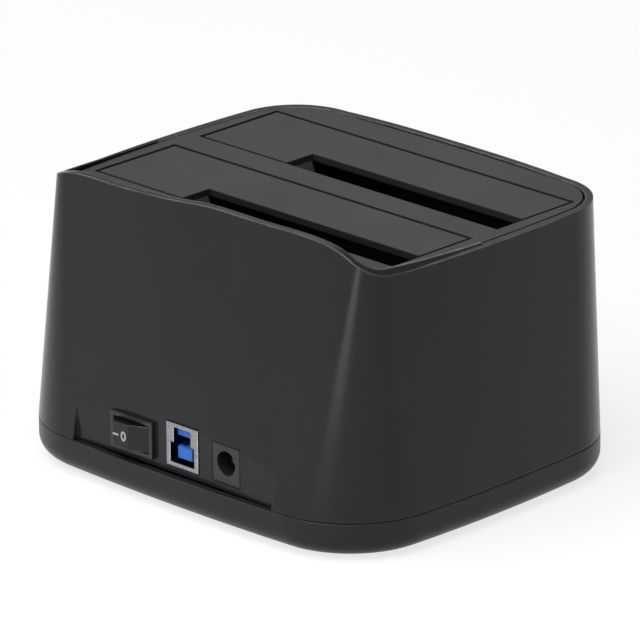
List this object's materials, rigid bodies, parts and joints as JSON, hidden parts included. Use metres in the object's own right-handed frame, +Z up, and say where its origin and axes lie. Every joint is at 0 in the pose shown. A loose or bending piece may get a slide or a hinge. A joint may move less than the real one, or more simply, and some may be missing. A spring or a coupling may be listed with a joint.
{
  "type": "drive duplicator",
  "caption": "Desktop dock that holds two bare disk drives upright in flap-covered bays and copies one to the other, with switch, USB socket and power inlet at the back.",
  "frame": {"origin": "on the table under the middle of the casing's outline", "axes": "+Z up, +Y towards the side with the sockets, +X to the left when that side is seen from behind"},
  "size_m": [0.1272, 0.1072, 0.0781],
  "materials": {
    "shell_plastic": "semi-gloss black",
    "cover_plastic": "fine matte black",
    "tray_plastic": "satin black",
    "frame_plastic": "matte black",
    "rubber": "matte",
    "steel": "zinc plated",
    "spring_steel": "bright",
    "connector_plastic": "matte black",
    "gold": "gold plated",
    "port_metal": "bright nickel",
    "blue_plastic": "satin blue",
    "rocker_plastic": "semi-gloss black",
    "circuit_board": "green solder mask",
    "chip_plastic": "matte black",
    "capacitor_can": "satin",
    "clear_plastic": "clear",
    "lamp": "frosted"
  },
  "bodies": {
    "station": {"upper_shell": "shell_plastic", "top_cover": "cover_plastic", "base_tray": "tray_plastic", "rubber_feet": "rubber", "case_screws": "steel", "bay_frame": "frame_plastic", "frame_screws": "steel", "flap_pin_front": "steel", "flap_pin_rear": "steel", "flap_spring_front": "spring_steel", "flap_spring_rear": "spring_steel", "main_board": "circuit_board", "board_screws": "steel", "front_board": "circuit_board", "bridge_chip": "chip_plastic", "copy_controller": "chip_plastic", "memory_chip": "chip_plastic", "clock_crystal": "capacitor_can", "power_coils": "chip_plastic", "filter_capacitors": "capacitor_can", "board_header": "connector_plastic", "sata_housing_front": "connector_plastic", "sata_housing_rear": "connector_plastic", "sata_contacts_front": "gold", "sata_contacts_rear": "gold", "usb_shell": "port_metal", "usb_insulator": "blue_plastic", "usb_contacts": "gold", "jack_body": "connector_plastic", "jack_pin": "steel", "jack_spring": "spring_steel", "switch_housing": "rocker_plastic", "switch_terminals": "gold", "button_switch": "chip_plastic", "status_lamps": "lamp", "light_guides": "clear_plastic"},
    "front_flap": {"flap_front": "cover_plastic"},
    "rear_flap": {"flap_rear": "cover_plastic"},
    "rocker": {"switch_rocker": "rocker_plastic"},
    "button": {"copy_button": "cover_plastic", "button_plunger": "connector_plastic"}
  },
  "joints": [
    {"name": "front_flap_hinge", "type": "hinge", "parent": "station", "child": "front_flap", "pos_m": [0, -0.0419, 0.0666], "axis": [-1, 0, 0], "range_deg": [0, 90], "stiffness_Nm_per_rad": 0.004, "springref_deg": -51.57},
    {"name": "rear_flap_hinge", "type": "hinge", "parent": "station", "child": "rear_flap", "pos_m": [0, -0.0049, 0.0666], "axis": [-1, 0, 0], "range_deg": [0, 90], "stiffness_Nm_per_rad": 0.004, "springref_deg": -51.57},
    {"name": "rocker_pivot", "type": "hinge", "parent": "station", "child": "rocker", "pos_m": [0.0144, 0.0492, 0.0168], "axis": [0, 0, -1], "range_deg": [0, 28]},
    {"name": "button_press", "type": "slide", "parent": "station", "child": "button", "axis": [0, 1, 0], "range_m": [0, 0.001], "stiffness_N_per_m": 400, "springref_m": -0.001}
  ]
}
